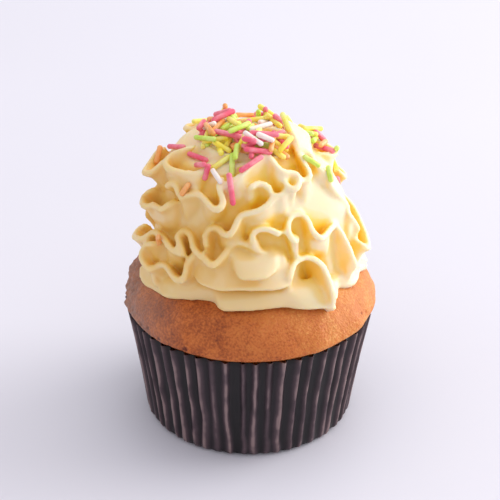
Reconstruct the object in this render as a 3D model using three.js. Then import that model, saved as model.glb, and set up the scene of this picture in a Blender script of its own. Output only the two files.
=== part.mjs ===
// A frosted cupcake in three pieces: a pleated paper case, a domed sponge cake and a piped swirl of
// ruffled buttercream. Millimetres, +Z up. The origin is the centre of the case's flat base, and -Y is
// the cupcake's front.
import * as THREE from "three";

const TURN = 2 * Math.PI;

// The paper case: a shallow frustum pleated all the way round, rounded where the wall meets the base.
const CASE = {
  baseRadius: 28.2, // outside, at the foot of the wall
  rimRadius: 33.4,
  height: 32.6,
  flare: 0.2, // how much of the opening out is kept for the top of the wall: 0 is a straight wall
  cornerRadius: 2.4,
  pleats: 54,
  pleatDepth: [0.5, 1.3], // at the foot and at the rim
  ridgeShare: 0.3, // of a pleat's width that is its outer ridge
  valleyShare: 0.4,
  paper: 0.45, // the wall, thicker than real paper so that it is a sound solid
};

// The sponge: a plug that fills the case and a crown that swells just over the rim.
const CAKE = {
  clearance: 0.35, // to the paper
  crownRadius: 33.6,
  crownBase: 33.0, // where the crown starts, just above the rim
  crownTop: 47.5,
  shoulder: 0.62, // below 1, the crown's outline is squarer than an ellipse
  tuck: 0.045, // how much the crown draws in where it meets the rim
  tuckHeight: 0.06,
  bulge: 0.55, // how far the crown leans out to the right
  unevenness: 0.25,
  columns: 60,
  crownRings: 10,
};

// The buttercream: one wide ribbon wound upwards, whose thin outer edge is ruffled.
const FROSTING = {
  firstEdge: 44.6, // height of the edge where the ribbon starts
  lastEdge: 82.6,
  turns: 5.5,
  start: 0.3 * TURN, // the ribbon starts at the back
  stepsPerTurn: 84,
  clearance: 0.5, // to the cake
  rootThickness: 0.8, // of the first turn, where it joins the middle
  edgeThickness: 1.5,
  ribbonDepth: 5.6, // how deep the groove between two turns is
  ruffleLength: 12, // along the edge
  ruffleHeight: 1.9,
  ruffleCurl: 1.15, // how far the crests lean along the edge
  ruffleTaper: 0.55, // the size of the last ruffles, against the first
  uneven: [0.28, 0.16], // two slow swings in the ruffles' size
  rise: 2.2, // how far the edge points up at the top of the swirl
  droop: 1.2, // and down at its foot
  peak: [-0.6, 0, 85.4],
};

// The swirl's outline: height, radius of the ribbon's edge, and how far its middle leans to the left.
const OUTLINE = [
  [42, 29.6, -1],
  [50, 30.5, -0.2],
  [58, 28.6, 0.8],
  [66, 26.2, 1.3],
  [73, 23, 2.2],
  [78, 17.8, 2.4],
  [82, 10.5, 1.4],
  [86, 3.5, 0.6],
];

const clamp = (x) => Math.min(1, Math.max(0, x));
const mix = (a, b, t) => a + (b - a) * t;
const smooth = (x) => x * x * (3 - 2 * x);
const round = (r, angle, z) => [r * Math.cos(angle), r * Math.sin(angle), z];
const evenAngles = (count) => Array.from({ length: count }, (_, i) => (i / count) * TURN);

// A mesh from shared vertices and faces of three or four corners, listed anticlockwise from outside.
function solid(name, vertices, faces, material) {
  const triangles = faces.flatMap(([a, b, c, d]) => (d === undefined ? [a, b, c] : [a, b, c, a, c, d]));
  const geometry = new THREE.BufferGeometry();
  geometry.setAttribute("position", new THREE.Float32BufferAttribute(vertices.flat(), 3));
  geometry.setIndex(triangles);
  geometry.computeVertexNormals();
  const mesh = new THREE.Mesh(geometry, material);
  mesh.name = name;
  return mesh;
}

// A closed skin of rings between two poles. point(station, angle, i) places ring point i, and the
// stations go from the lower pole out and up the outside.
function ringed(name, angles, stations, point, material) {
  const columns = angles.length;
  const rings = stations.slice(1, -1);
  const vertices = [
    point(stations[0], 0, 0),
    ...rings.flatMap((station) => angles.map((angle, i) => point(station, angle, i))),
    point(stations.at(-1), 0, 0),
  ];
  const at = (ring, i) => 1 + ring * columns + (i % columns);
  const lastPole = vertices.length - 1;
  const faces = [];
  for (let i = 0; i < columns; i++) {
    faces.push([0, at(0, i + 1), at(0, i)]);
    for (let ring = 0; ring < rings.length - 1; ring++) {
      faces.push([at(ring, i), at(ring, i + 1), at(ring + 1, i + 1), at(ring + 1, i)]);
    }
    faces.push([at(rings.length - 1, i), at(rings.length - 1, i + 1), lastPole]);
  }
  return solid(name, vertices, faces, material);
}

// The case's outer radius on its ridges, and how deep its pleats are, at a height.
function wallRadius(z) {
  const up = clamp(z / CASE.height);
  return mix(CASE.baseRadius, CASE.rimRadius, mix(up, up ** 2, CASE.flare));
}

function pleatDepth(z) {
  return mix(...CASE.pleatDepth, clamp(z / CASE.height)) * clamp(z / CASE.cornerRadius);
}

function paperCase(material) {
  const corner = CASE.cornerRadius;
  const cornerPoint = (turn, inset) => ({
    r: wallRadius(corner) - corner + (corner - inset) * Math.sin(turn),
    z: corner - (corner - inset) * Math.cos(turn),
  });
  const wall = (share, inset) => ({ r: wallRadius(share * CASE.height) - inset, z: share * CASE.height });
  const stations = [
    { r: 0, z: 0 },
    cornerPoint(0, 0),
    cornerPoint(TURN / 8, 0),
    wall(0.1, 0),
    wall(0.5, 0),
    wall(1, 0),
    wall(1, CASE.paper),
    wall(0.5, CASE.paper),
    wall(0.1, CASE.paper),
    cornerPoint(0, CASE.paper),
    { r: 0, z: CASE.paper },
  ];
  // Each pleat has the two ends of its ridge, then the two ends of its valley.
  const ridge = CASE.ridgeShare / 2;
  const valley = CASE.valleyShare / 2;
  const pleat = [-ridge, ridge, 0.5 - valley, 0.5 + valley];
  const inValley = [0, 0, 1, 1];
  const pleatWidth = TURN / CASE.pleats;
  const angles = evenAngles(CASE.pleats).flatMap((middle) => pleat.map((x) => middle + x * pleatWidth));
  const point = ({ r, z }, angle, i) => round(r - pleatDepth(z) * inValley[i % pleat.length], angle, z);
  return ringed("paper_case", angles, stations, point, material);
}

// The crown's outline at an angle, from its foot, share 0, to its middle, share 1.
function crownPoint(share, angle) {
  const tuck = 1 - CAKE.tuck * (1 - clamp(share / CAKE.tuckHeight)) ** 2;
  const turn = (share * TURN) / 4;
  const lumps = CAKE.unevenness * (Math.sin(3 * angle + 1) + Math.sin(7 * angle)) * (1 - share);
  const lean = CAKE.bulge * Math.cos(angle) * (1 - share);
  const rising = clamp(share * CAKE.crownRings);
  const r = CAKE.crownRadius * tuck * Math.cos(turn) ** CAKE.shoulder + (lean + lumps) * rising;
  const z = mix(CAKE.crownBase, CAKE.crownTop, Math.sin(turn)) + (lumps / 3) * rising;
  return { r: share === 1 ? 0 : r, z };
}

// The crown's height at a place, found on its outline by halving.
function crownHeight(x, y) {
  const angle = Math.atan2(y, x);
  let [low, high] = [0, 1];
  for (let i = 0; i < 24; i++) {
    const middle = (low + high) / 2;
    if (crownPoint(middle, angle).r > Math.hypot(x, y)) low = middle;
    else high = middle;
  }
  return crownPoint(low, angle).z;
}

function cake(material) {
  const inside = (z) => ({ r: wallRadius(z) - pleatDepth(z) - CASE.paper - CAKE.clearance, z });
  const foot = CASE.paper + CAKE.clearance;
  const stations = [
    { r: 0, z: foot },
    { r: inside(foot).r - CASE.cornerRadius, z: foot },
    inside(CASE.cornerRadius + foot),
    inside(CASE.height / 2),
    { r: inside(CASE.height).r, z: (CASE.height + CAKE.crownBase) / 2 },
    ...Array.from({ length: CAKE.crownRings + 1 }, (_, i) => ({ share: i / CAKE.crownRings })),
  ];
  const point = (station, angle) => {
    const { r, z } = station.share === undefined ? station : crownPoint(station.share, angle);
    return round(r, angle, z);
  };
  return ringed("cake", evenAngles(CAKE.columns), stations, point, material);
}

function outlineAt(z) {
  const above = OUTLINE.findIndex(([height]) => height > z);
  const [low, high] = [OUTLINE[above - 1], OUTLINE[above]];
  const t = (z - low[0]) / (high[0] - low[0]);
  return { edge: mix(low[1], high[1], t), lean: mix(low[2], high[2], t) };
}

function frosting(material) {
  const { stepsPerTurn, clearance, edgeThickness } = FROSTING;
  const steps = Math.round(FROSTING.turns * stepsPerTurn);
  const pitch = (FROSTING.lastEdge - FROSTING.firstEdge) / FROSTING.turns;
  const angleAt = (k) => FROSTING.start + (k / stepsPerTurn) * TURN;

  // Four points across the ribbon at each step: its root, the lower and upper lips of its edge, and
  // the foot of the groove above it. The groove then runs in to the root of the next turn.
  const rows = 4;
  const vertices = [];
  let ruffle = 0;
  for (let k = 0; k <= steps; k++) {
    const along = k / steps;
    const height = mix(FROSTING.firstEdge, FROSTING.lastEdge, along);
    const { edge, lean } = outlineAt(height);
    const place = (r, angle, z) => {
      const [x, y] = round(r, angle, z);
      return [x - lean, y, z];
    };
    ruffle += (TURN * edge * TURN) / stepsPerTurn / FROSTING.ruffleLength;
    const swing = FROSTING.uneven[0] * Math.sin(0.37 * ruffle) + FROSTING.uneven[1] * Math.sin(0.13 * ruffle);
    const size = (1 + swing) * mix(1, FROSTING.ruffleTaper, smooth(along));
    const pointing = mix(-FROSTING.droop, FROSTING.rise, smooth(along));
    const wave = pointing + FROSTING.ruffleHeight * size * Math.sin(ruffle);
    const curl = (-FROSTING.ruffleCurl * size * Math.sin(2 * ruffle)) / edge;
    const depth = Math.min(FROSTING.ribbonDepth, 0.6 * edge);
    const angle = angleAt(k);
    const reach = edge + 0.5 * swing - 0.35 * Math.cos(2 * ruffle);
    const lip = place(reach, angle + curl, height + wave - edgeThickness / 2);
    lip[2] = Math.max(lip[2], crownHeight(lip[0], lip[1]) + clearance);
    const groove = mix(height, lip[2] + edgeThickness, 0.45) + edgeThickness / 2;
    vertices.push(place(edge - depth, angle, height - pitch / 2));
    vertices.push(lip);
    vertices.push(place(reach - 0.2, angle + curl, lip[2] + edgeThickness));
    vertices.push(place(edge - 0.6 * depth, angle + curl / 3, groove));
  }
  const at = (k, row) => (row === rows ? (k + stepsPerTurn) * rows : k * rows + row);
  const faces = [];
  for (let k = 0; k < steps; k++) {
    for (let row = 0; row < rows; row++) {
      const isTop = row === rows - 1 && k + stepsPerTurn >= steps;
      if (!isTop) faces.push([at(k, row), at(k + 1, row), at(k + 1, row + 1), at(k, row + 1)]);
    }
  }

  // The underside follows the cake's crown in to its middle.
  const underShares = [0, 0.2, 0.45, 0.75];
  const under = vertices.length;
  for (const share of underShares) {
    for (let k = 0; k < stepsPerTurn; k++) {
      const root = vertices[at(k, 0)];
      const [x, y] = root.map((v) => v * (1 - share));
      const z = crownHeight(x, y) + clearance;
      vertices.push([x, y, z]);
      if (!share) root[2] = Math.max(root[2], z + FROSTING.rootThickness);
    }
  }
  const below = (ring, k) => under + ring * stepsPerTurn + (k % stepsPerTurn);
  const middle = vertices.push([0, 0, CAKE.crownTop + clearance]) - 1;
  const innermost = underShares.length - 1;
  for (let k = 0; k < stepsPerTurn; k++) {
    faces.push([below(0, k), below(0, k + 1), at(k + 1, 0), at(k, 0)]);
    for (let ring = 0; ring < innermost; ring++) {
      faces.push([below(ring + 1, k), below(ring + 1, k + 1), below(ring, k + 1), below(ring, k)]);
    }
    faces.push([middle, below(innermost, k + 1), below(innermost, k)]);
  }

  // The ribbon's cut start, where the second turn lies on the first, and its end at the peak.
  const start = [at(0, 1), at(0, 2), at(0, 3), at(0, rows), below(0, 0)];
  for (let i = 0; i < start.length - 1; i++) faces.push([at(0, 0), start[i], start[i + 1]]);
  const peak = vertices.push(FROSTING.peak) - 1;
  const lastTurn = steps - stepsPerTurn;
  for (let k = lastTurn; k < steps; k++) faces.push([at(k, 3), at(k + 1, 3), peak]);
  const end = [at(steps, 3), at(steps, 2), at(steps, 1), at(steps, 0), at(lastTurn, 3)];
  for (let i = 0; i < end.length - 1; i++) faces.push([end[i], end[i + 1], peak]);
  return solid("frosting", vertices, faces, material);
}

const cupcake = new THREE.Group();
cupcake.add(
  paperCase(new THREE.MeshStandardMaterial({ color: 0x352a2e, roughness: 0.55, metalness: 0 })),
  cake(new THREE.MeshStandardMaterial({ color: 0xc47a45, roughness: 0.75, metalness: 0 })),
  frosting(new THREE.MeshStandardMaterial({ color: 0xf4dfa0, roughness: 0.45, metalness: 0 })),
);

export default cupcake;
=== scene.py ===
import bpy
import bmesh
import math
import random
from mathutils import Matrix, Vector, noise
from mathutils.bvhtree import BVHTree


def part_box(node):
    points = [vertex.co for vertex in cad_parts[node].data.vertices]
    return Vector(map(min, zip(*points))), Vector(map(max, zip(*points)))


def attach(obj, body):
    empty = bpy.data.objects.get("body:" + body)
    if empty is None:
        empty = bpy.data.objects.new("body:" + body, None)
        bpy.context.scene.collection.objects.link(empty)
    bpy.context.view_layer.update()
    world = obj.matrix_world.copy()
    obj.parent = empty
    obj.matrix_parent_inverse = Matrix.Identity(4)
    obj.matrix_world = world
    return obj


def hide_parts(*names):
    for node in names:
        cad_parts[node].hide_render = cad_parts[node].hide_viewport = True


# A cupcake in a dark pleated paper case, with a ruffled buttercream swirl and sugar strands.
# Lengths are in millimetres where they are set and go through mm on their way into a mesh.
# Azimuths are in degrees seen from above: 0 is the front (-Y), 90 the viewer's right (+X).

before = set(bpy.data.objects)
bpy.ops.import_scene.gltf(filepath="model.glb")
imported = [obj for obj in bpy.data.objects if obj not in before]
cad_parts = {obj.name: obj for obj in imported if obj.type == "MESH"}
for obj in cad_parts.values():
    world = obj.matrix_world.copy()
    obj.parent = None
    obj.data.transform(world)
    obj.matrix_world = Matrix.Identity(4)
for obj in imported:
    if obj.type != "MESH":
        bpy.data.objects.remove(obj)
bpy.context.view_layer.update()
mm = 0.001

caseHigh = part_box("paper_case")[1]
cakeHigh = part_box("cake")[1]
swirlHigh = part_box("frosting")[1]
rimRadius = caseHigh[0] / mm
rimHeight = caseHigh[2] / mm
cakeTop = cakeHigh[2] / mm
swirlTop = swirlHigh[2] / mm
print("frame: rim radius %.1f, rim height %.1f, cake top %.1f, swirl top %.1f" %
      (rimRadius, rimHeight, cakeTop, swirlTop))


def mix(a, b, t):
    return a + (b - a) * t


def clamp(x, low=0.0, high=1.0):
    return max(low, min(high, x))


def smooth(x):
    x = clamp(x)
    return x * x * (3 - 2 * x)


def along(points, x):
    # a value read off a short list of (x, value, value...) rows, with straight lines between them
    if x <= points[0][0]:
        return points[0][1:]
    for low, high in zip(points, points[1:]):
        if x <= high[0]:
            t = (x - low[0]) / (high[0] - low[0])
            return [mix(a, b, t) for a, b in zip(low[1:], high[1:])]
    return points[-1][1:]


def place(azimuth, radius, z, lean=0.0):
    # millimetres and degrees to a point in the frame
    turn = math.radians(azimuth)
    return Vector((radius * math.sin(turn) + lean, -radius * math.cos(turn), z)) * mm


def addObject(name, bm):
    mesh = bpy.data.meshes.new(name)
    bm.to_mesh(mesh)
    bm.free()
    piece = bpy.data.objects.new(name, mesh)
    bpy.context.scene.collection.objects.link(piece)
    for face in mesh.polygons:
        face.use_smooth = True
    return piece


def addMesh(bm, part):
    # joins a bmesh into another one
    mesh = bpy.data.meshes.new("part")
    part.to_mesh(mesh)
    part.free()
    bm.from_mesh(mesh)
    bpy.data.meshes.remove(mesh)


def spinOutline(bm, outline, steps, gap):
    # joins an outline's points and spins it round the axis, then merges what is closer than the gap
    for a, b in zip(outline, outline[1:]):
        bm.edges.new((a, b))
    bmesh.ops.spin(bm, geom=bm.verts[:] + bm.edges[:], axis=(0, 0, 1), cent=(0, 0, 0), steps=steps,
                   angle=2 * math.pi, use_merge=True)
    bmesh.ops.remove_doubles(bm, verts=bm.verts, dist=gap * mm)


def applyModifiers(piece):
    graph = bpy.context.evaluated_depsgraph_get()
    baked = bpy.data.meshes.new_from_object(piece.evaluated_get(graph))
    piece.modifiers.clear()
    old = piece.data
    piece.data = baked
    bpy.data.meshes.remove(old)
    for face in baked.polygons:
        face.use_smooth = True


view = {
    "distance": 450,
    "pivot": 40,  # height on the cupcake's axis that the distance and the elevation are taken from
    "elevation": 30.72,
    "aim": 47.1,  # height on the axis that the camera looks at
    "roll": 0.66,
    "lens": 121.4,
}


def makeCamera():
    rise = math.radians(view["elevation"])
    data = bpy.data.cameras.new("camera")
    data.lens = view["lens"]
    data.sensor_width = 36
    camera = bpy.data.objects.new("camera", data)
    bpy.context.scene.collection.objects.link(camera)
    back = view["distance"] * math.cos(rise)
    spot = Vector((0, -back, view["pivot"] + view["distance"] * math.sin(rise))) * mm
    towards = Vector((0, 0, view["aim"] * mm)) - spot
    turn = towards.to_track_quat("-Z", "Y").to_matrix().to_4x4()
    roll = Matrix.Rotation(math.radians(view["roll"]), 4, "Z")
    camera.matrix_world = Matrix.Translation(spot) @ turn @ roll
    bpy.context.scene.camera = camera


makeCamera()

# Places and sizes of the lights are in metres, their colours linear.
daylight = {
    "window": {"spot": (0.45, 0.3, 1.08), "size": 1.4, "watts": 3.9, "colour": (1, 1, 0.97)},
    "side": {"spot": (1.1, 0.36, 0.3), "size": 1.0, "watts": 14, "colour": (1, 1, 0.96)},
}
roomLight = {"colour": (0.972, 0.972, 0.998, 1), "strength": 0.815}
lightAim = (0, 0, 0.05)


def addAreaLight(name, spot, size, watts, colour):
    data = bpy.data.lights.new(name, "AREA")
    data.shape = "DISK"
    data.size = size
    data.energy = watts
    data.color = colour
    lamp = bpy.data.objects.new(name, data)
    bpy.context.scene.collection.objects.link(lamp)
    lamp.location = spot
    aim = Vector(lightAim) - Vector(spot)
    lamp.rotation_euler = aim.to_track_quat("-Z", "Y").to_euler()


def lightRoom():
    world = bpy.data.worlds.new("studio")
    bpy.context.scene.world = world
    world.use_nodes = True
    background = world.node_tree.nodes["Background"]
    background.inputs["Color"].default_value = roomLight["colour"]
    background.inputs["Strength"].default_value = roomLight["strength"]


for name, lamp in daylight.items():
    addAreaLight(name, **lamp)
lightRoom()
bpy.context.scene.view_settings.view_transform = "Standard"
print("lights: %d lamps and the room" % len(daylight))

# Height above the case's rim, radius of the ribbons' lips, sideways lean of the swirl's middle.
swirlOutline = [
    (7, 28.0, 1.2), (10, 29.2, 1.2), (14, 30.6, 0.9), (19, 30.5, 0.0), (24, 29.0, -0.2), (29, 27.8, -0.8),
    (34, 26.0, -1.2), (40, 24.4, -1.8), (44, 22.3, -2.2), (47, 18.5, -1.5), (49, 14.5, -1.2),
    (51, 9.0, -0.8), (55, 3.0, -0.5),
]

buttercream = {
    "flatness": 0.06,  # how much less deep than wide the swirl is
    "thickness": 1.65,
    "rows": 13,
    "step": 0.7,  # spacing of the points along a lip
    "waveRise": 0.75,  # share of a ruffle that goes up and down
    "waveLean": 0.82,  # share that goes in and out, with its crests further in
    "rootSpan": 9.0,  # length of lip over which its root is evened out
    "drop": 9.5,
    # how far a ribbon lies inside the outline, from its root (0) to its lip (1)
    "inset": [(0, 8.0), (0.2, 4.6), (0.5, 3.0), (0.8, 2.0), (0.93, 1.0), (1, 0)],
    "frill": 2.4,  # how soon the ruffles die out below a lip's troughs
    "frillCrest": 1.1,  # and below its crests
    "hollow": 1.1,  # depth of the hollow below a crest, as a share of the crest's height
    "endTuck": 1.6,  # length over which a ribbon's end goes in to the core
    "endDepth": 2,  # and how far in it goes
    "rowCrowding": 1.4,  # above 1, a ribbon's rows of points lie closer together towards its lip
    "nominalRadius": 0.84,  # of the swirl, as a share of the rim's, for measuring along a lip
    "coreFoot": 7,  # height above the rim of the core's flat underside
    "coreTop": 46,
    "coreSides": 96,
    "dentFree": 5,  # radius about the axis in which the core takes no dents
    # how far the core lies inside the outline: rise, inset
    "coreInset": [(7, 5.3), (27, 4.7), (33, 3.8), (42, 4.0), (46, 5.5)],
    # where the core is pressed in or swells out: azimuth, rise, depth, width
    "dents": [(40, 18.5, 4, 4), (77, 33, -3.5, 8), (-60, 19, -2, 6)],
    "voxel": 0.5,
    "smoothing": 4,
}

# Each ribbon's lip as (azimuth, height above the rim, further out) where it turns. "drop", "inset" and
# "hollow" replace the values above for one ribbon, "out" moves it outwards, and "spread" is how far its root
# is evened out. Most of the points came out of a separate fitting script and aren't worked out from the
# sizes above; the part's report says how.
ribbons = {
    "skirt": {"drop": -6, "inset": [(0, 6), (0.3, 3.2), (0.7, 1.6), (0.9, 0.6), (1, 0)], "lip": [
        (-90, 8.8, 1.6), (-73, 8.9, 1.4), (-62, 9.9, 0.4), (-50, 10.5, -0.1),
        (-42, 11.4, -1.5), (-30, 12.3, -3.3), (-22, 12.4, -3.4), (-16, 11.6, -1.5), (-5, 12.1, -1.6),
        (16, 12.2, -2.3), (28, 11.2, -0.8), (38, 10.7, 0.6), (42, 9.7, 1.8), (44, 12, 0)]},
    "hem": {"drop": -5, "lip": [(44, 12, -1), (48, 10.5, -1), (53, 11, -2), (58, 11.7, -2.8),
        (62, 11, -1.8), (68, 10.4, -1), (76, 10.3, -0.9), (84, 10.3, -0.7), (90, 9.3, 1), (98, 9, 1)]},
    "belt": {"drop": -9, "inset": [(0, 6), (0.25, 3.2), (0.6, 2.2), (0.9, 0.9), (1, 0)], "lip": [
        (-33, 20, -3), (-28, 19, -1.5), (-22, 18.5, -1), (-15, 18.2, -0.8),
        (-5, 18.8, -0.6), (8, 18.8, -0.6), (16, 18.7, -0.8), (24, 19, -2)]},
    "peak": {"drop": 4, "out": -1.5, "lip": [
        (-150, 45, -3), (-105, 46, -3.5), (-60, 45.4, -4), (-20, 46.4, -4.5), (25, 46, -5),
        (65, 46.9, -6), (110, 46.3, -6.5), (150, 47, -7.5), (200, 46.6, -8.5),
        (250, 47, -9.5), (310, 46.9, -10.5), (360, 47, -11.5)]},
    "leftLoop": {"drop": 6, "spread": 0.6, "lip": [(-54.5, 12), (-58, 13), (-59.5, 14.5), (-59.5, 17),
        (-55.5, 19.5), (-50.5, 20.5), (-45, 20), (-40, 19), (-36.5, 19), (-34, 19.5), (-34, 21.5),
        (-34.5, 23.5), (-32.5, 25.5), (-28.5, 26.5)]},
    "third": {"lip": [(-100, 19.5), (-100, 16.5), (-81.5, 20.5), (-73.5, 22.5), (-68, 26), (-60, 27),
        (-51.5, 27), (-43.5, 26), (-38, 26), (-34.5, 26), (-37, 27), (-41, 28.5), (-44, 29.5), (-43, 31),
        (-39, 31), (-35.5, 30.5), (-32.5, 29), (-30, 28), (-26.5, 27), (-23, 26.5), (-20.5, 25.5),
        (-17.5, 25), (-15, 26.5), (-13.5, 27.5), (-11.5, 29), (-8.5, 30.5), (-4.5, 31), (1.5, 30.5),
        (6.5, 29, -1), (12, 28, -2)]},
    "thirdUpper": {"lip": [(-21.5, 27.5), (-23, 29.5), (-24, 30.5), (-25, 32), (-23.5, 33.5), (-20.5, 34),
        (-16, 34), (-12.5, 33), (-9, 33), (-7, 34), (-6, 35), (-4, 37), (-1.5, 38), (3.5, 38.5), (9, 39),
        (14.5, 40), (20, 41.5), (25.5, 42), (32, 42.5)]},
    "hook": {"drop": 2.5, "spread": 0.2, "lip": [(23, 31.5, -1), (20, 32.5), (17.5, 33), (13.5, 34),
        (8.5, 34), (5, 33.5), (3.5, 32), (4.5, 30.5), (8, 30.5)]},
    "rightFold": {"lip": [(32, 31), (28, 30.5), (25, 32), (25.5, 33.5), (28.5, 35), (32.5, 36), (37.5, 36),
        (40.5, 35.5), (41.5, 34), (40, 32.5), (40, 31), (41.5, 29.5), (45, 29.5), (51.5, 30), (57.5, 30),
        (64.5, 29.5), (65.5, 27.5), (65.5, 25.5), (65, 22.5), (64.5, 20.5), (65, 18), (63, 16)]},
    "arch": {"drop": 8, "hollow": 3, "lip": [(42.5, 8.5, 2), (41.5, 12, 2), (42, 15.5, 1.8), (43.5, 18, 1),
        (44.5, 20), (44, 22), (40.5, 24), (36.5, 25), (31, 25), (26.5, 24.5), (22.5, 22.5), (21, 20.5),
        (21, 19.5)]},
    "tongue": {"drop": -5, "inset": [(0, 6), (0.2, 3.4), (0.45, 1.3), (0.8, 0.5), (1, 0)], "lip": [
        (-10, 25, -3), (-8, 24, -1.4), (-5, 22, -0.4), (-2, 22, 0), (2.5, 22, 0),
        (7, 22, 0), (11, 22.5, -0.4), (15, 23.5, -1.5), (18, 24, -3)]},
    "second": {"lip": [(-78.5, 35.5), (-82, 32.5), (-74.5, 31.5), (-69, 32.5), (-67.5, 33.5), (-61, 34),
        (-55, 34.5), (-53, 36), (-49, 37.5)]},
    "secondLoop": {"drop": 3, "spread": 0.2, "lip": [(-55, 38.5), (-56.5, 40), (-55, 41), (-51, 41.5),
        (-47, 41), (-45, 39.5), (-45.5, 38)]},
    "secondRight": {"lip": [(-45.5, 38.5), (-41, 40), (-36, 41), (-31, 41.5), (-26, 41), (-21.5, 40),
        (-17.5, 39), (-14, 39), (-11.5, 40), (-12, 41.5), (-14, 42.5), (-16, 44), (-17, 45.5)]},
    "firstLeft": {"lip": [(-93, 44.5), (-88.5, 42), (-82, 40), (-77, 39.5), (-72, 41), (-70.5, 44),
        (-69, 46)]},
    "first": {"lip": [(-64, 48.5), (-70.5, 47), (-71, 46), (-67.5, 45), (-63.5, 44.5), (-57, 44.5),
        (-48.5, 45), (-38.5, 45.5), (-34.5, 46), (-31.5, 47)]},
    "upper": {"lip": [(-14, 43.5, -1), (-7, 45.5, -0.5), (-2, 46.5), (4.5, 48), (11.5, 49), (18.5, 49.5),
        (24.5, 49.5), (28, 48.5), (29, 47.5), (31.5, 46.5), (38, 46), (43.5, 45.5), (43, 44.5), (38.5, 43),
        (34, 42.5), (31, 43.5), (32, 45), (33.5, 45.5)]},
    "topFold": {"lip": [(42.5, 43.5), (48, 43.5), (52.5, 44.5), (54, 46), (55.5, 47), (59, 48.5),
        (67, 49.6, 0.3), (78, 51, 1.6), (87, 52.2, 3), (97, 52.2, 2.8), (105, 50.8, 1.8)]},
    "smallFold": {"lip": [(3, 43, -1), (7, 44.5), (12.5, 45), (17.5, 44.5), (19.5, 43.5), (21, 41.5, -1)]},
    "rightEdge": {"lip": [(63, 49), (68.5, 47.5), (66, 46), (64.5, 44.5), (70, 41.5), (67, 39.5),
        (71.5, 36), (79, 32), (76, 29.5), (83, 25.5), (82, 21.5)]},
    "crownLeft": {"out": -6, "lip": [(-69, 45.5), (-60.5, 46), (-48, 46), (-36, 46), (-29, 46),
        (-27, 46.8), (-36, 47.2), (-39, 48), (-31, 48.2)]},
    "crownFront": {"out": -4, "lip": [(-16, 46), (-11.5, 46.8), (-5.5, 46.8), (0.5, 47), (6.5, 47.6),
        (16.5, 48), (24, 47), (31.5, 47.5), (41.5, 47.8), (50.5, 47.4)]},
    "crownTop": {"out": -5, "lip": [(-59, 46.8), (-60.5, 48), (-41.5, 48), (-24, 48), (-9.5, 48.7),
        (4.5, 48.2), (21, 48.4), (41.5, 48.8), (55.5, 48), (75.5, 48)]},
    "leftLow": {"lip": [(-59.5, 24.5), (-68, 22.5), (-69.5, 20.5), (-67, 19), (-63.5, 18), (-58.5, 17.5),
        (-56, 19.5)]},
}

# The far side is ruffled like the near one: most ribbons come again about half a turn further on.
farSide = {
    "turn": 184,
    "stretch": 1.05,
    "asBefore": ("skirt", "hem"),  # ribbons that are only turned
    "rise": 1.6,  # how far the others go up, except near the top
    "riseEnd": 44,
    "riseFade": 8,
    "ceiling": 43,  # a lip above this comes down towards it
    "pressed": 0.6,  # by this share of the way
    "pullIn": 3,  # and goes in this far once it is as much above the ceiling
    "without": ("belt", "rightEdge", "tongue", "crownLeft", "crownFront", "crownTop", "peak", "topFold"),
}


def swirlRadius(azimuth, rise):
    radius, lean = along(swirlOutline, rise)
    return radius * (1 - buttercream["flatness"] * math.cos(math.radians(azimuth)) ** 2), lean


def evenRun(points, step):
    # an even run of points on a smooth curve through the given ones
    points = [tuple(p) if len(p) == 3 else (p[0], p[1], 0.0) for p in points]
    ends = [points[0]] + points + [points[-1]]
    stretchPoints = 12
    dense = []
    for a, b, c, d in zip(ends, ends[1:], ends[2:], ends[3:]):
        for i in range(stretchPoints):
            t = i / stretchPoints
            dense.append([0.5 * (2 * q + (r - p) * t + (2 * p - 5 * q + 4 * r - s) * t * t
                                 + (3 * q - p - 3 * r + s) * t ** 3) for p, q, r, s in zip(a, b, c, d)])
    dense.append(points[-1])
    spots = [place(p[0], rimRadius * buttercream["nominalRadius"], p[1]) / mm for p in dense]
    lengths = [0.0]
    for a, b in zip(spots, spots[1:]):
        lengths.append(lengths[-1] + (b - a).length)
    count = max(2, round(lengths[-1] / step))
    rows = [[length] + list(p) for length, p in zip(lengths, dense)]
    return [along(rows, lengths[-1] * i / count) for i in range(count + 1)]


def evened(values, reach):
    # each value replaced by the mean of itself and its neighbours, the ends left as they are
    sums = [0.0]
    for v in values:
        sums.append(sums[-1] + v)
    last = len(values) - 1
    out = []
    for i in range(last + 1):
        k = min(reach, i, last - i)
        out.append((sums[i + k + 1] - sums[i - k]) / (2 * k + 1))
    return out


def rootOf(values, reach, spread):
    # a lip's values evened out twice, for the root that the lip stands on
    return [mix(value, even, spread) for value, even in zip(values, evened(evened(values, reach), reach))]


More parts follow.
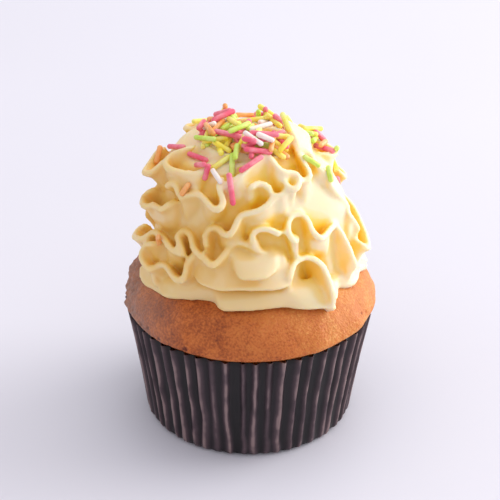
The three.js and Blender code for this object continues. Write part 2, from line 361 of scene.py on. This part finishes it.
def addRibbon(bm, ribbon):
    step = buttercream["step"]
    lip = evenRun(ribbon["lip"], step)
    reach = int(buttercream["rootSpan"] / step)
    spread = ribbon.get("spread", 1)
    rootAzimuth = rootOf([p[0] for p in lip], reach, spread)
    rootRise = rootOf([p[1] for p in lip], reach, spread)
    drop = ribbon.get("drop", buttercream["drop"])
    insets = ribbon.get("inset", buttercream["inset"])
    rows = buttercream["rows"]
    sheet = bmesh.new()
    bmesh.ops.create_grid(sheet, x_segments=len(lip) - 1, y_segments=rows - 1, size=1)
    verts = sorted(sheet.verts, key=lambda v: (round(v.co.x, 5), v.co.y))
    for i, (azimuth, rise, out) in enumerate(lip):
        wave = rise - rootRise[i]
        fade = smooth(min(i, len(lip) - 1 - i) * step / buttercream["endTuck"])
        for j in range(rows):
            t = 1 - (1 - j / (rows - 1)) ** buttercream["rowCrowding"]
            frill = t ** mix(buttercream["frillCrest"], buttercream["frill"], smooth((2 - wave) / 3))
            a = mix(rootAzimuth[i], azimuth, frill)
            z = rootRise[i] - drop * (1 - t) + wave * buttercream["waveRise"] * frill
            radius, lean = swirlRadius(a, z)
            hollow = ribbon.get("hollow", buttercream["hollow"]) * max(wave, 0) * math.sin(math.pi * t)
            inset = along(insets, t)[0] + hollow + (1 - fade) * buttercream["endDepth"]
            r = radius + ribbon.get("out", 0) + out * frill - inset - buttercream["waveLean"] * wave * frill
            verts[i * rows + j].co = place(a, r, rimHeight + z, lean)
    bmesh.ops.smooth_vert(sheet, verts=sheet.verts, factor=0.5, use_axis_x=True, use_axis_y=True,
                          use_axis_z=True)
    addMesh(bm, sheet)


def turnedRibbon(name, ribbon):
    middle = (ribbon["lip"][0][0] + ribbon["lip"][-1][0]) / 2
    lip = []
    for azimuth, rise, *out in ribbon["lip"]:
        out = out[0] if out else 0
        if name not in farSide["asBefore"]:
            azimuth = middle + (azimuth - middle) * farSide["stretch"]
            out -= farSide["pullIn"] * clamp((rise - farSide["ceiling"]) / farSide["pullIn"])
            lifted = farSide["rise"] * clamp((farSide["riseEnd"] - rise) / farSide["riseFade"])
            rise = min(rise, mix(rise, farSide["ceiling"], farSide["pressed"])) + lifted
        lip.append((azimuth + farSide["turn"], rise, out))
    return {**ribbon, "lip": lip}


def addCore(bm):
    # the mound of buttercream that the ribbons stand on
    core = bmesh.new()
    foot, top = buttercream["coreFoot"], buttercream["coreTop"]
    wall = [(rise, 1.0) for rise in range(foot, top - 2, 3)]
    outline = []
    for rise, share in [(foot, 0.0)] + wall + [(top - 1.4, 0.8), (top - 0.4, 0.5), (top, 0.0)]:
        radius = swirlRadius(90, rise)[0] - along(buttercream["coreInset"], rise)[0]
        outline.append(core.verts.new(Vector((radius * share, 0, rimHeight + rise)) * mm))
    spinOutline(core, outline, buttercream["coreSides"], 0.01)
    for v in core.verts:
        rise = v.co.z / mm - rimHeight
        azimuth = math.degrees(math.atan2(v.co.x, -v.co.y))
        radius = math.hypot(v.co.x, v.co.y)
        if radius > buttercream["dentFree"] * mm:
            for side, height, deep, wide in buttercream["dents"]:
                gap = math.hypot(math.radians(azimuth - side) * radius / mm, rise - height) / wide
                pressed = 1 - deep * mm * math.exp(-gap * gap) / radius
                v.co.x *= pressed
                v.co.y *= pressed
        v.co.x += along(swirlOutline, rise)[1] * mm
        v.co.y *= 1 - buttercream["flatness"]
    bmesh.ops.recalc_face_normals(core, faces=core.faces)
    addMesh(bm, core)


def makeButtercream():
    bm = bmesh.new()
    for name, ribbon in ribbons.items():
        addRibbon(bm, ribbon)
        if name not in farSide["without"]:
            addRibbon(bm, turnedRibbon(name, ribbon))
    piece = addObject("buttercream", bm)
    thicken = piece.modifiers.new("thicken", "SOLIDIFY")
    thicken.thickness = buttercream["thickness"] * mm
    thicken.offset = 0
    applyModifiers(piece)
    bm = bmesh.new()
    bm.from_mesh(piece.data)
    addCore(bm)
    bm.to_mesh(piece.data)
    bm.free()
    remesh = piece.modifiers.new("joined", "REMESH")
    remesh.mode = "VOXEL"
    remesh.voxel_size = buttercream["voxel"] * mm
    soften = piece.modifiers.new("soften", "SMOOTH")
    soften.factor = 0.5
    soften.iterations = buttercream["smoothing"]
    applyModifiers(piece)
    print("buttercream: %d faces" % len(piece.data.polygons))
    return piece


foldShade = {
    "reach": 12,  # how far a ray looks for the other side of a fold
    "rays": 14,
    "start": 0.15,  # how far off the surface a ray starts
    "lift": 1.05,  # keeps the rays on the outer side of the surface
    "fade": 0.6,  # how much less a hit at full reach counts than one close by
    "evening": 2,
    "seed": 3,
}


def markFolds(piece):
    # how shut in each point of a mesh is, from 0 out in the open to 1 deep in a fold
    mesh = piece.data
    bm = bmesh.new()
    bm.from_mesh(mesh)
    tree = BVHTree.FromBMesh(bm)
    draw = random.Random(foldShade["seed"])
    rays = foldShade["rays"]
    reach = foldShade["reach"] * mm
    fan = [Vector([draw.gauss(0, 1) for axis in range(3)]).normalized() for ray in range(rays)]
    depth = []
    for v in bm.verts:
        shut = 0.0
        spot = v.co + v.normal * foldShade["start"] * mm
        for ray in fan:
            heading = (v.normal * foldShade["lift"] + ray).normalized()
            distance = tree.ray_cast(spot, heading, reach)[3]
            if distance is not None:
                shut += 1 - foldShade["fade"] * distance / reach
        depth.append(shut / rays)
    for step in range(foldShade["evening"]):
        depth = [(d + sum(depth[e.other_vert(v).index] for e in v.link_edges)) / (1 + len(v.link_edges))
                 for d, v in zip(depth, bm.verts)]
    bm.free()
    # the fold depth drives the painted shade of the buttercream's folds
    layer = mesh.attributes.new("foldDepth", "FLOAT", "POINT")
    layer.data.foreach_set("value", depth)
    print("folds: depth marked at %d points" % len(depth))


swirl = makeButtercream()
markFolds(swirl)
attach(swirl, "root")
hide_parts("frosting")

strandRule = {
    "hub": 24.0,  # height above the rim of the point that the strands' directions are taken from
    "hubShift": -0.5,  # how far that point lies to the right of the axis
    "diameter": 1.45,
    "uneven": (0.93, 1.06),  # range of the diameter, as a share
    "sides": 10,
    "rings": 7,
    "length": (6.0, 8.5),
    "sink": 0.25,  # how far a strand is pressed into the buttercream
    "steepest": 0.6,  # slope at which a strand would slide
    "standing": 0.7,  # how high the middle of a stood-up strand is, as a share of half the strand's rise
    "probes": 4,  # points each side of a strand's middle at which it looks for what is under it
    "scattered": 130,
    "near": {"azimuth": (-120, 60), "spread": 26},  # degrees from upright, of the strands nearer the front
    "far": {"azimuth": (95, 235), "spread": 46},  # every third strand
    "colours": ["pink", "pink", "green", "green", "yellow", "yellow", "yellow", "orange", "white"],
    "highest": 85.6,  # where the heap of scattered strands ends
    "crownFall": 0.021,  # how fast that limit falls away to the sides
    "seed": 5,
}

# Strands laid one by one: (azimuth, elevation from the hub, turn from level, length, lift of one end).
# Most of these came out of a separate script that laid them on the swirl; the part's report says how.
laidStrands = {
    "pink": [(-86, 49, 40, 7.5), (-111, 76, 143, 7), (-130, 72, 99, 6), (-55, 55, 15, 6.5),
        (-41, 51, 5, 5.5), (-34, 49, 86, 4.5), (22, 71, 157, 7.5), (0, 67, 164, 4), (2, 57, 37, 7.5),
        (-12, 43, 104, 8.3),
        (-96, 65, 162, 4.5), (115, 45, 94, 5), (98, 22, 121, 5)],
    "white": [(-24, 48, 140, 5), (5, 69, 148, 6), (21, 69, 153, 5), (-93, 69, 60, 5)],
    "green": [(-59, 64, 20, 8), (-16, 56, 100, 7.6), (-14, 63, 95, 5), (-21, 77, 60, 7), (98, 40, 149, 5),
        (58, 50, 120, 5.5), (67, 39, 68, 4.5), (-152, 70, 76, 7)],
    "yellow": [(161, 56, 4, 7.5), (86, 72, 25, 7), (-29, 58, 62, 6), (-37, 66, 8, 5.5),
        (-165, 79, 132, 6, 65), (45, 64, 12, 5.5), (104, 30, 20, 4.5), (105, 6, 39, 3)],
    "orange": [(-88, 39, 125, 5), (-43, 37, 84, 4), (-56, 4, 61, 5), (-72, 69, 3, 7), (-145, 68, 63, 6),
        (102, 46, 148, 4), (100, 86, 120, 7.5, 78)],
}


def strandFrame(azimuth, elevation, turn):
    # the way out from the hub, and the way a strand points as it lies across it
    a, e, t = [math.radians(angle) for angle in (azimuth, elevation, turn)]
    out = Vector((math.sin(a) * math.cos(e), -math.cos(a) * math.cos(e), math.sin(e)))
    east = Vector((math.cos(a), math.sin(a), 0))
    return out, east * math.cos(t) + out.cross(east) * math.sin(t)


def layStrand(trees, hub, azimuth, elevation, turn, length, lift=None):
    # drops a strand towards the hub until it rests on what lies there; returns its middle and its axis
    out, across = strandFrame(azimuth, elevation, turn)
    radius = strandRule["diameter"] / 2
    half = length / 2 - radius
    probes = strandRule["probes"]
    wellOutside = 60
    heights = []
    for k in range(-probes, probes + 1):
        slide = across * half * k / probes
        found = []
        for tree in trees:
            hit = tree.ray_cast((hub + slide + out * wellOutside) * mm, -out)[0]
            if hit is not None:
                found.append((hit / mm - hub - slide).dot(out))
        if found:
            heights.append((half * k / probes, max(found)))
    if not heights:
        return None
    if lift is not None:
        steep = math.radians(lift)
        middle = min(h for s, h in heights) + half * math.sin(steep) * strandRule["standing"]
        return hub + out * middle, (across * math.cos(steep) + out * math.sin(steep)).normalized()
    level = max(h for s, h in heights)
    slope = 0.0
    best = None
    for low in heights:
        for high in heights:
            if low[0] < 0 < high[0]:
                tilt = (high[1] - low[1]) / (high[0] - low[0])
                middle = low[1] - tilt * low[0]
                if abs(tilt) < strandRule["steepest"] and (best is None or middle > best[0]):
                    best = (middle, tilt)
    if best:
        slope = best[1]
        level = max(h - slope * s for s, h in heights)
    reach = radius * math.sqrt(1 + slope * slope)
    return hub + out * (level + reach - strandRule["sink"]), (across + out * slope).normalized()


def addStrand(bm, middle, axis, length, radius):
    # a rod with round ends
    made = bmesh.ops.create_uvsphere(bm, u_segments=strandRule["sides"], v_segments=strandRule["rings"],
                                     radius=radius * mm)["verts"]
    half = (length / 2 - radius) * mm
    spin = axis.to_track_quat("Z", "Y").to_matrix()
    for v in made:
        v.co.z += half if v.co.z > 0 else -half
        v.co = spin @ v.co + middle * mm


def makeStrands(surface):
    base = bmesh.new()
    base.from_mesh(surface.data)
    under = BVHTree.FromBMesh(base)
    base.free()
    draw = random.Random(strandRule["seed"])
    hub = Vector((strandRule["hubShift"], 0, rimHeight + strandRule["hub"]))
    plan = [(colour, spec, False) for colour, rows in laidStrands.items() for spec in rows]
    for i in range(strandRule["scattered"]):
        side = strandRule["far" if i % 3 == 2 else "near"]
        azimuth = draw.uniform(*side["azimuth"])
        elevation = 90 - side["spread"] * math.sqrt(draw.random())
        spec = (azimuth, elevation, draw.uniform(0, 180), draw.uniform(*strandRule["length"]))
        plan.append((draw.choice(strandRule["colours"]), spec, True))
    shells = {colour: bmesh.new() for colour in laidStrands}
    counts = {colour: 0 for colour in laidStrands}
    pile = bmesh.new()
    for colour, spec, scattered in reversed(plan):  # the ones laid one by one come last, on top
        trees = [under, BVHTree.FromBMesh(pile)] if pile.faces else [under]
        laid = layStrand(trees, hub, *spec)
        if laid is None:
            continue
        middle, axis = laid
        length = spec[3]
        end = middle.z + abs(axis.z) * length / 2
        if scattered and end > strandRule["highest"] - strandRule["crownFall"] * middle.x ** 2:
            continue
        radius = strandRule["diameter"] / 2 * draw.uniform(*strandRule["uneven"])
        counts[colour] += 1
        for bm in (shells[colour], pile):
            addStrand(bm, middle, axis, length, radius)
    pile.free()
    pieces = {}
    for colour, bm in shells.items():
        pieces[colour] = addObject("strands_" + colour, bm)
        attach(pieces[colour], "root")
        top = max(v.co.z for v in pieces[colour].data.vertices) / mm
        print("strands %s: %d of them, up to %.1f mm" % (colour, counts[colour], top))
    return pieces


strandPieces = makeStrands(swirl)

# Points of the sponge inside the case, as radius and height, from the middle of its base up to the crown.
spongeWall = [(0, 0.9), (20, 0.9), (26.2, 0.9), (27.4, 6), (28.6, 14), (29.8, 22), (30.6, 28), (31.2, 31.5)]

sponge = {
    "radius": 33.6,
    "foot": 33.0,  # where the crown starts, just above the rim
    "top": 47.5,
    "shoulder": 0.62,  # the lower, the squarer the crown's edge
    "tuck": 0.045,  # how far the crown's foot is drawn in, as a share of its radius
    "bulge": 0.55,  # how far the crown's edge is shifted to the right
    "columns": 460,
    "crownRows": 36,
    "lumpSize": 7,
    "lumps": 0.45,  # height of the crust's swells
    "bumpSize": 2.1,
    "bumps": 0.16,
    "crumbSize": 2.4,
    "crumbs": 0.9,  # of the broken crust at the left
    "tornSide": -88,  # azimuth of the middle of the broken crust
    "tornWidth": 34,  # in degrees, to each side
    # small holes in the crust: azimuth, degrees up the crown's outline
    "pits": [(-58, 6), (-52, 9), (-47, 2.2), (-44, 5.5), (-38, 2.0), (-31, 2.4), (-29, 6.6), (-22, 1.8),
        (63, 17), (67, 13)],
    "pitRadius": 0.7,
    "pitDepth": 0.55,
    "seed": 7,
}


def crownSpot(turn, azimuth):
    # the crown's outline, from its foot at 0 degrees to its middle at 90
    share = turn / 90
    tuck = 1 - sponge["tuck"] * (1 - clamp(share / 0.06)) ** 2
    rising = clamp(share * 10)
    lean = sponge["bulge"] * math.sin(math.radians(azimuth)) * (1 - share)
    r = sponge["radius"] * tuck * max(math.cos(math.radians(turn)), 0) ** sponge["shoulder"] + lean * rising
    return r, mix(sponge["foot"], sponge["top"], math.sin(math.radians(turn)))


def makeSponge():
    bm = bmesh.new()
    rows = sponge["crownRows"]
    fineRows = [56 * (i / rows) ** 1.15 for i in range(rows + 1)]  # as far up as the crown can be seen
    spots = spongeWall + [crownSpot(turn, 0) for turn in fineRows + [64, 73, 82, 90]]
    outline = [bm.verts.new(Vector((r, 0, z)) * mm) for r, z in spots]
    spinOutline(bm, outline, sponge["columns"], 0.004)
    bmesh.ops.recalc_face_normals(bm, faces=bm.faces)
    shade = bm.verts.layers.float.new("crustAndPitShade")
    pits = [place(azimuth, *crownSpot(turn, azimuth)) / mm for azimuth, turn in sponge["pits"]]
    seed = Vector((sponge["seed"], 0, 0))
    bm.normal_update()
    for v in bm.verts:
        spot = v.co / mm
        if spot.z < sponge["foot"] - 1:
            v[shade] = 0
            continue
        azimuth = math.degrees(math.atan2(spot.x, -spot.y))
        rise = clamp((spot.z - sponge["foot"]) / 2)
        torn = smooth(1 - abs(azimuth - sponge["tornSide"]) / sponge["tornWidth"])
        swell = noise.noise(spot / sponge["lumpSize"] + seed) * sponge["lumps"] * (1 + torn)
        bump = noise.noise(spot / sponge["bumpSize"] + seed) * sponge["bumps"]
        crumb = noise.fractal(spot / sponge["crumbSize"], 0.6, 2.0, 3) * sponge["crumbs"] * torn * rise
        lean = sponge["bulge"] * math.sin(math.radians(azimuth)) * clamp((40 - spot.z) / 7) * rise
        pit = max(0.0, 1 - min((spot - centre).length / sponge["pitRadius"] for centre in pits) ** 2)
        move = (swell + bump + crumb) * (0.35 + 0.65 * rise) - sponge["pitDepth"] * pit
        v.co += (v.normal * move + Vector((lean * math.sin(math.radians(azimuth)), 0, 0))) * mm
        patches = 0.5 * noise.noise(spot / 5 + seed * 3) + 0.25 * noise.noise(spot / 1.6)
        # random patches of the crust's own tone, with painted shade that darkens the pits
        v[shade] = clamp(0.5 + patches - 2 * pit, -1)
    piece = addObject("sponge", bm)
    print("sponge: %d faces" % len(piece.data.polygons))
    return piece


spongePiece = makeSponge()
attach(spongePiece, "root")
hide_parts("cake")

paperCase = {
    "pleats": 54,
    "columns": 16,  # points across one pleat
    "baseRadius": 28.2,
    "flare": 0.2,  # how much of the wall's slope comes late, which bends its rim outwards
    "height": 32.6,
    "paper": 0.22,
    "depth": [(0, 0.5), (0.08, 0.8), (0.5, 1.15), (1, 1.4)],  # of the pleats, going up the wall
    "crest": (0.24, 0.4),  # share of a pleat that its crest takes, at the rim
    "spread": (0.3, 0.55),  # and at the foot
    "stray": 0.14,  # how far a crest is off its place, as a share of a pleat
    "skew": 0.35,  # the most by which one side of a crest is wider than the other
    "uneven": (0.72, 1.08),  # range of the pleats' depths, as a share
    "kink": (0.3, 0.7),  # how far up the wall a pleat has reached its width at the rim
    "wander": 0.5,  # how far a crest strays going up, in millimetres
    "crumple": 0.12,  # unevenness of the paper between the crests
    "rimWave": 0.3,
    "seed": 11,
}


def makePaperCase():
    count = paperCase["pleats"]
    draw = random.Random(paperCase["seed"])
    pleats = []
    for i in range(count):
        pleats.append({
            "middle": i + 0.5 + draw.uniform(-1, 1) * paperCase["stray"],
            "crest": draw.uniform(*paperCase["crest"]),
            "spread": draw.uniform(*paperCase["spread"]),
            "skew": draw.uniform(-1, 1) * paperCase["skew"],
            "depth": draw.uniform(*paperCase["uneven"]),
            "kink": draw.uniform(*paperCase["kink"]),
        })
    rises = [0.0, 0.02, 0.05, 0.1, 0.16] + [0.22 + 0.06 * i for i in range(14)]
    wallStart = 20  # the wall is spun as a plain tube of this radius and then shaped
    bm = bmesh.new()
    outline = [bm.verts.new(Vector((r, 0, 0)) * mm) for r in (0, 14, 24)]
    for u in rises:
        outline.append(bm.verts.new(Vector((wallStart, 0, u * paperCase["height"])) * mm))
    spinOutline(bm, outline, count * paperCase["columns"], 0.004)
    crestLayer = bm.verts.layers.float.new("crest")
    for v in bm.verts:
        spot = v.co / mm
        u = spot.z / paperCase["height"]
        if abs(math.hypot(spot.x, spot.y) - wallStart) > 1:
            continue  # a point of the base
        turn = math.atan2(spot.x, -spot.y) % (2 * math.pi)
        r = mix(paperCase["baseRadius"], rimRadius, mix(u, u * u, paperCase["flare"]))
        share = turn / (2 * math.pi) * count
        height = 0.0
        for step in (-1, 0, 1):
            i = int(share + step) % count
            pleat = pleats[i]
            stray = noise.noise(Vector((i * 3.7, u * 3.2, 1.5)))
            stray += 0.5 * noise.noise(Vector((i * 5.1, u * 9, 4.5)))
            middle = pleat["middle"] + stray * paperCase["wander"] * count / (2 * math.pi * r) * (1.4 - u)
            away = (share - middle + count / 2) % count - count / 2
            wide = mix(pleat["spread"], pleat["crest"], smooth(u / pleat["kink"]))
            away /= wide * (1 + pleat["skew"] * (1 if away > 0 else -1))
            if abs(away) < 1.6:
                height = max(height, pleat["depth"] * math.exp(-2.2 * away * away))
        depth = along(paperCase["depth"], u)[0]
        valley = paperCase["crumple"] * noise.noise(Vector((share * 1.3, u * 4, 8)))
        foot = 1.3 * (1 - smooth(u / 0.03)) + 0.25 * (1 - smooth(u / 0.1))
        r += depth * (height - 1) + valley * (1 - height) - foot
        wave = noise.noise(Vector((math.sin(turn), math.cos(turn), 0)) * 4)
        rim = paperCase["rimWave"] * wave * smooth((u - 0.8) / 0.2)
        v.co = Vector((r * math.sin(turn), -r * math.cos(turn), spot.z + rim)) * mm
        # the pleat height, which also drives the painted shade and sheen in the paper's colour
        v[crestLayer] = height
    bmesh.ops.recalc_face_normals(bm, faces=bm.faces)
    piece = addObject("pleatedCase", bm)
    thicken = piece.modifiers.new("thicken", "SOLIDIFY")
    thicken.thickness = paperCase["paper"] * mm
    thicken.offset = -1
    applyModifiers(piece)
    print("paper case: %d faces" % len(piece.data.polygons))
    return piece


casePiece = makePaperCase()
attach(casePiece, "root")
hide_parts("paper_case")


# The scale of a noise is given as its repeats per millimetre, over mm.
def addNode(material, kind, settings=None, links=None):
    node = material.node_tree.nodes.new(kind)
    for key, value in (settings or {}).items():
        if isinstance(key, int) or key in node.inputs:
            node.inputs[key].default_value = value
        else:
            setattr(node, key, value)
    for key, source in (links or {}).items():
        material.node_tree.links.new(source, node.inputs[key])
    return node


def linear(hexColour):
    parts = [int(hexColour[i:i + 2], 16) / 255 for i in (1, 3, 5)]
    return tuple(c / 12.92 if c <= 0.04045 else ((c + 0.055) / 1.055) ** 2.4 for c in parts) + (1.0,)


def startMaterial(name, finish):
    # a material whose shader has the given finish, the same all over
    material = bpy.data.materials.new(name)
    material.use_nodes = True
    shader = material.node_tree.nodes["Principled BSDF"]
    for socket, value in finish.items():
        shader.inputs[socket].default_value = value
    return material, shader


def rampOf(material, source, stops):
    ramp = addNode(material, "ShaderNodeValToRGB", links={"Fac": source})
    elements = ramp.color_ramp.elements
    while len(elements) < len(stops):
        elements.new(0.5)
    for element, (position, colour) in zip(elements, stops):
        element.position = position
        element.color = linear(colour)
    return ramp


def makeButtercreamMaterial():
    # American buttercream, piped: a fatty, faintly translucent paste. Its open lips look ivory, and the warm
    # gold deeper in the folds is painted shade and painted bounced light. High up and to the right it is
    # paler
    # and its folds are yellower: that is the window's light, which is painted into the colour here.
    material, shader = startMaterial("piped buttercream", {
        "Roughness": 0.42,
        "IOR": 1.46,
        "Subsurface Weight": 0.5,
        "Subsurface Radius": (1.0, 0.7, 0.3),
        "Subsurface Scale": 1.8 * mm,
    })
    # painted shade: the deeper in a fold, the more golden the colour
    depth = addNode(material, "ShaderNodeAttribute", {"attribute_name": "foldDepth"})
    spot = addNode(material, "ShaderNodeTexCoord").outputs["Object"]
    shaded = rampOf(material, depth.outputs["Fac"], [
        (0.03, "#F0D39A"), (0.2, "#EDC77C"), (0.5, "#F0C668"), (0.95, "#E8BA54")])
    sunny = rampOf(material, depth.outputs["Fac"], [
        (0.05, "#FCE8C4"), (0.25, "#F9D678"), (0.55, "#F7CC3A"), (0.95, "#F0BA2E")])
    towards = addNode(material, "ShaderNodeVectorMath", {"operation": "DOT_PRODUCT", 1: (1, 0, 0.8)},
                      {0: spot})
    glow = addNode(material, "ShaderNodeMapRange", {"From Min": 41 * mm, "From Max": 58 * mm},
                   {"Value": towards.outputs["Value"]})
    blend = addNode(material, "ShaderNodeMix", {"data_type": "RGBA"},
                    {0: glow.outputs["Result"], 6: shaded.outputs["Color"], 7: sunny.outputs["Color"]})
    material.node_tree.links.new(blend.outputs[2], shader.inputs["Base Color"])
    return material


swirl.data.materials.clear()
swirl.data.materials.append(makeButtercreamMaterial())


def makeSpongeMaterial():
    # Baked sponge: a thin golden-brown crust, darker and redder where the oven caught it, over a fine open
    # crumb. Tiny domes of sugar and fat in the crust catch the light as a glittering grain. It is greyer
    # and rougher at the far left, and brighter towards the right: that is light painted into the colour.
    material, shader = startMaterial("baked sponge", {
        "Roughness": 0.48,
        "Specular IOR Level": 0.28,
        "Subsurface Weight": 0.12,
        "Subsurface Radius": (1.0, 0.45, 0.2),
        "Subsurface Scale": 0.8 * mm,
    })
    spot = addNode(material, "ShaderNodeTexCoord").outputs["Object"]
    # the crust's tone, darkened in the pits by painted shade
    crustAndPitShade = addNode(material, "ShaderNodeAttribute", {"attribute_name": "crustAndPitShade"})
    grain = addNode(material, "ShaderNodeTexNoise", {"Scale": 1.7 / mm, "Detail": 3.0}, {"Vector": spot})
    patch = addNode(material, "ShaderNodeTexNoise", {"Scale": 0.11 / mm, "Detail": 2.0}, {"Vector": spot})
    sides = addNode(material, "ShaderNodeSeparateXYZ", links={"Vector": spot})
    # painted light: the tone rises from left to right
    across = addNode(material, "ShaderNodeMapRange",
                     {"From Min": -30 * mm, "From Max": 30 * mm, "To Min": -0.31, "To Max": 0.2},
                     {"Value": sides.outputs["X"]})
    mixed = addNode(material, "ShaderNodeMath", {"operation": "MULTIPLY_ADD", 1: 0.2},
                    {0: patch.outputs["Fac"], 2: across.outputs["Result"]})
    tone = addNode(material, "ShaderNodeMath", {"operation": "MULTIPLY_ADD", 1: 0.35},
                   {0: crustAndPitShade.outputs["Fac"], 2: mixed.outputs["Value"]})
    fine = addNode(material, "ShaderNodeMath", {"operation": "MULTIPLY_ADD", 1: 0.8},
                   {0: grain.outputs["Fac"], 2: tone.outputs["Value"]})
    ramp = rampOf(material, fine.outputs["Value"], [
        (0.2, "#733520"), (0.45, "#A95627"), (0.62, "#C66D33"), (0.85, "#D07E3C"), (1, "#DA9450")])
    # painted shade: towards the far left the colour is mixed towards grey
    dull = addNode(material, "ShaderNodeMapRange",
                   {"From Min": -34 * mm, "From Max": -16 * mm, "To Min": 0.5, "To Max": 0.0},
                   {"Value": sides.outputs["X"]})
    leftShadeGrey = addNode(material, "ShaderNodeMix", {"data_type": "RGBA", 7: linear("#B79C8C")},
                    {0: dull.outputs["Result"], 6: ramp.outputs["Color"]})
    material.node_tree.links.new(leftShadeGrey.outputs[2], shader.inputs["Base Color"])
    pimples = addNode(material, "ShaderNodeTexVoronoi", {"Scale": 1.1 / mm}, {"Vector": spot})
    bump = addNode(material, "ShaderNodeBump", {"Strength": 0.8, "Distance": 0.3 * mm},
                   {"Height": grain.outputs["Fac"]})
    second = addNode(material, "ShaderNodeBump", {"Strength": 0.35, "Distance": 0.2 * mm},
                     {"Height": pimples.outputs["Distance"], "Normal": bump.outputs["Normal"]})
    knobs = addNode(material, "ShaderNodeTexNoise", {"Scale": 0.52 / mm, "Detail": 3.0}, {"Vector": spot})
    rough = addNode(material, "ShaderNodeMath", {"operation": "MULTIPLY"},
                    {0: knobs.outputs["Fac"], 1: dull.outputs["Result"]})
    third = addNode(material, "ShaderNodeBump", {"Strength": 1.0, "Distance": 1.6 * mm},
                    {"Height": rough.outputs["Value"], "Normal": second.outputs["Normal"]})
    material.node_tree.links.new(third.outputs["Normal"], shader.inputs["Normal"])
    return material


def makePaperMaterial():
    # Greaseproof baking paper, dyed dark brown. Its colour is almost black down in the pleats, which is
    # painted shade, and lifted to a greyish mauve brown on the crests, partly by worn wax and partly by a
    # painted sheen.
    # Its fibres show as faint streaks up the wall.
    material, shader = startMaterial("greaseproof paper", {
        "Roughness": 0.52,
        "Specular IOR Level": 0.36,
    })
    spot = addNode(material, "ShaderNodeTexCoord").outputs["Object"]
    crest = addNode(material, "ShaderNodeAttribute", {"attribute_name": "crest"})
    long = addNode(material, "ShaderNodeMapping", {"Scale": (1, 1, 0.15)}, {"Vector": spot})
    streaks = addNode(material, "ShaderNodeTexNoise", {"Scale": 0.7 / mm, "Detail": 3.0},
                      {"Vector": long.outputs["Vector"]})
    worn = addNode(material, "ShaderNodeTexNoise", {"Scale": 0.16 / mm, "Detail": 2.0}, {"Vector": spot})
    wearAndSheen = addNode(material, "ShaderNodeMapRange",
                   {"From Min": 0.35, "From Max": 0.65, "To Min": 0.72, "To Max": 1.06},
                   {"Value": worn.outputs["Fac"]})
    high = addNode(material, "ShaderNodeMath", {"operation": "MULTIPLY"},
                   {0: crest.outputs["Fac"], 1: wearAndSheen.outputs["Result"]})
    tone = addNode(material, "ShaderNodeMath", {"operation": "MULTIPLY_ADD", 1: 0.16},
                   {0: streaks.outputs["Fac"], 2: high.outputs["Value"]})
    # dark in the pleats is painted shade; light on the crests is part painted sheen, part wear
    ramp = rampOf(material, tone.outputs["Value"], [
        (0.05, "#0B0609"), (0.3, "#24191F"), (0.75, "#4E3C42"), (0.98, "#877070")])
    material.node_tree.links.new(ramp.outputs["Color"], shader.inputs["Base Color"])
    bump = addNode(material, "ShaderNodeBump", {"Strength": 0.3, "Distance": 0.1 * mm},
                   {"Height": streaks.outputs["Fac"]})
    material.node_tree.links.new(bump.outputs["Normal"], shader.inputs["Normal"])
    return material


def makeStrandMaterial(name, deep, pale):
    # Pressed sugar strands: opaque pastel sugar with a dull polish; sugar dust mottles them paler.
    material, shader = startMaterial(name, {
        "Roughness": 0.4,
        "Subsurface Weight": 0.25,
        "Subsurface Radius": (1.0, 0.7, 0.5),
        "Subsurface Scale": 0.5 * mm,
    })
    spot = addNode(material, "ShaderNodeTexCoord").outputs["Object"]
    mottle = addNode(material, "ShaderNodeTexNoise", {"Scale": 0.42 / mm, "Detail": 2.0}, {"Vector": spot})
    ramp = rampOf(material, mottle.outputs["Fac"], [(0.35, deep), (0.7, pale)])
    material.node_tree.links.new(ramp.outputs["Color"], shader.inputs["Base Color"])
    bump = addNode(material, "ShaderNodeBump", {"Strength": 0.25, "Distance": 0.08 * mm},
                   {"Height": mottle.outputs["Fac"]})
    material.node_tree.links.new(bump.outputs["Normal"], shader.inputs["Normal"])
    return material


strandColours = {
    "pink": ("#F25C7C", "#FF9CAA"),
    "white": ("#FBEAE4", "#FFFAF6"),
    "green": ("#C8E452", "#E0F48A"),
    "yellow": ("#FFEA50", "#FFF79A"),
    "orange": ("#F8A250", "#FDC68C"),
}

spongePiece.data.materials.append(makeSpongeMaterial())
casePiece.data.materials.clear()
casePiece.data.materials.append(makePaperMaterial())
for colour, piece in strandPieces.items():
    piece.data.materials.append(makeStrandMaterial("sugar strand " + colour, *strandColours[colour]))


def makeFloor():
    # A white laminate table top, slightly violet in the daylight.
    bm = bmesh.new()
    bmesh.ops.create_grid(bm, x_segments=1, y_segments=1, size=3)
    floor = addObject("floor", bm)
    material, shader = startMaterial("white table top", {
        "Roughness": 0.55,
    })
    spot = addNode(material, "ShaderNodeTexCoord").outputs["Object"]
    cloud = addNode(material, "ShaderNodeTexNoise", {"Scale": 0.006 / mm, "Detail": 2.0}, {"Vector": spot})
    ramp = rampOf(material, cloud.outputs["Fac"], [(0.3, "#E0DDE8"), (0.7, "#E3E0EB")])
    material.node_tree.links.new(ramp.outputs["Color"], shader.inputs["Base Color"])
    floor.data.materials.append(material)


makeFloor()
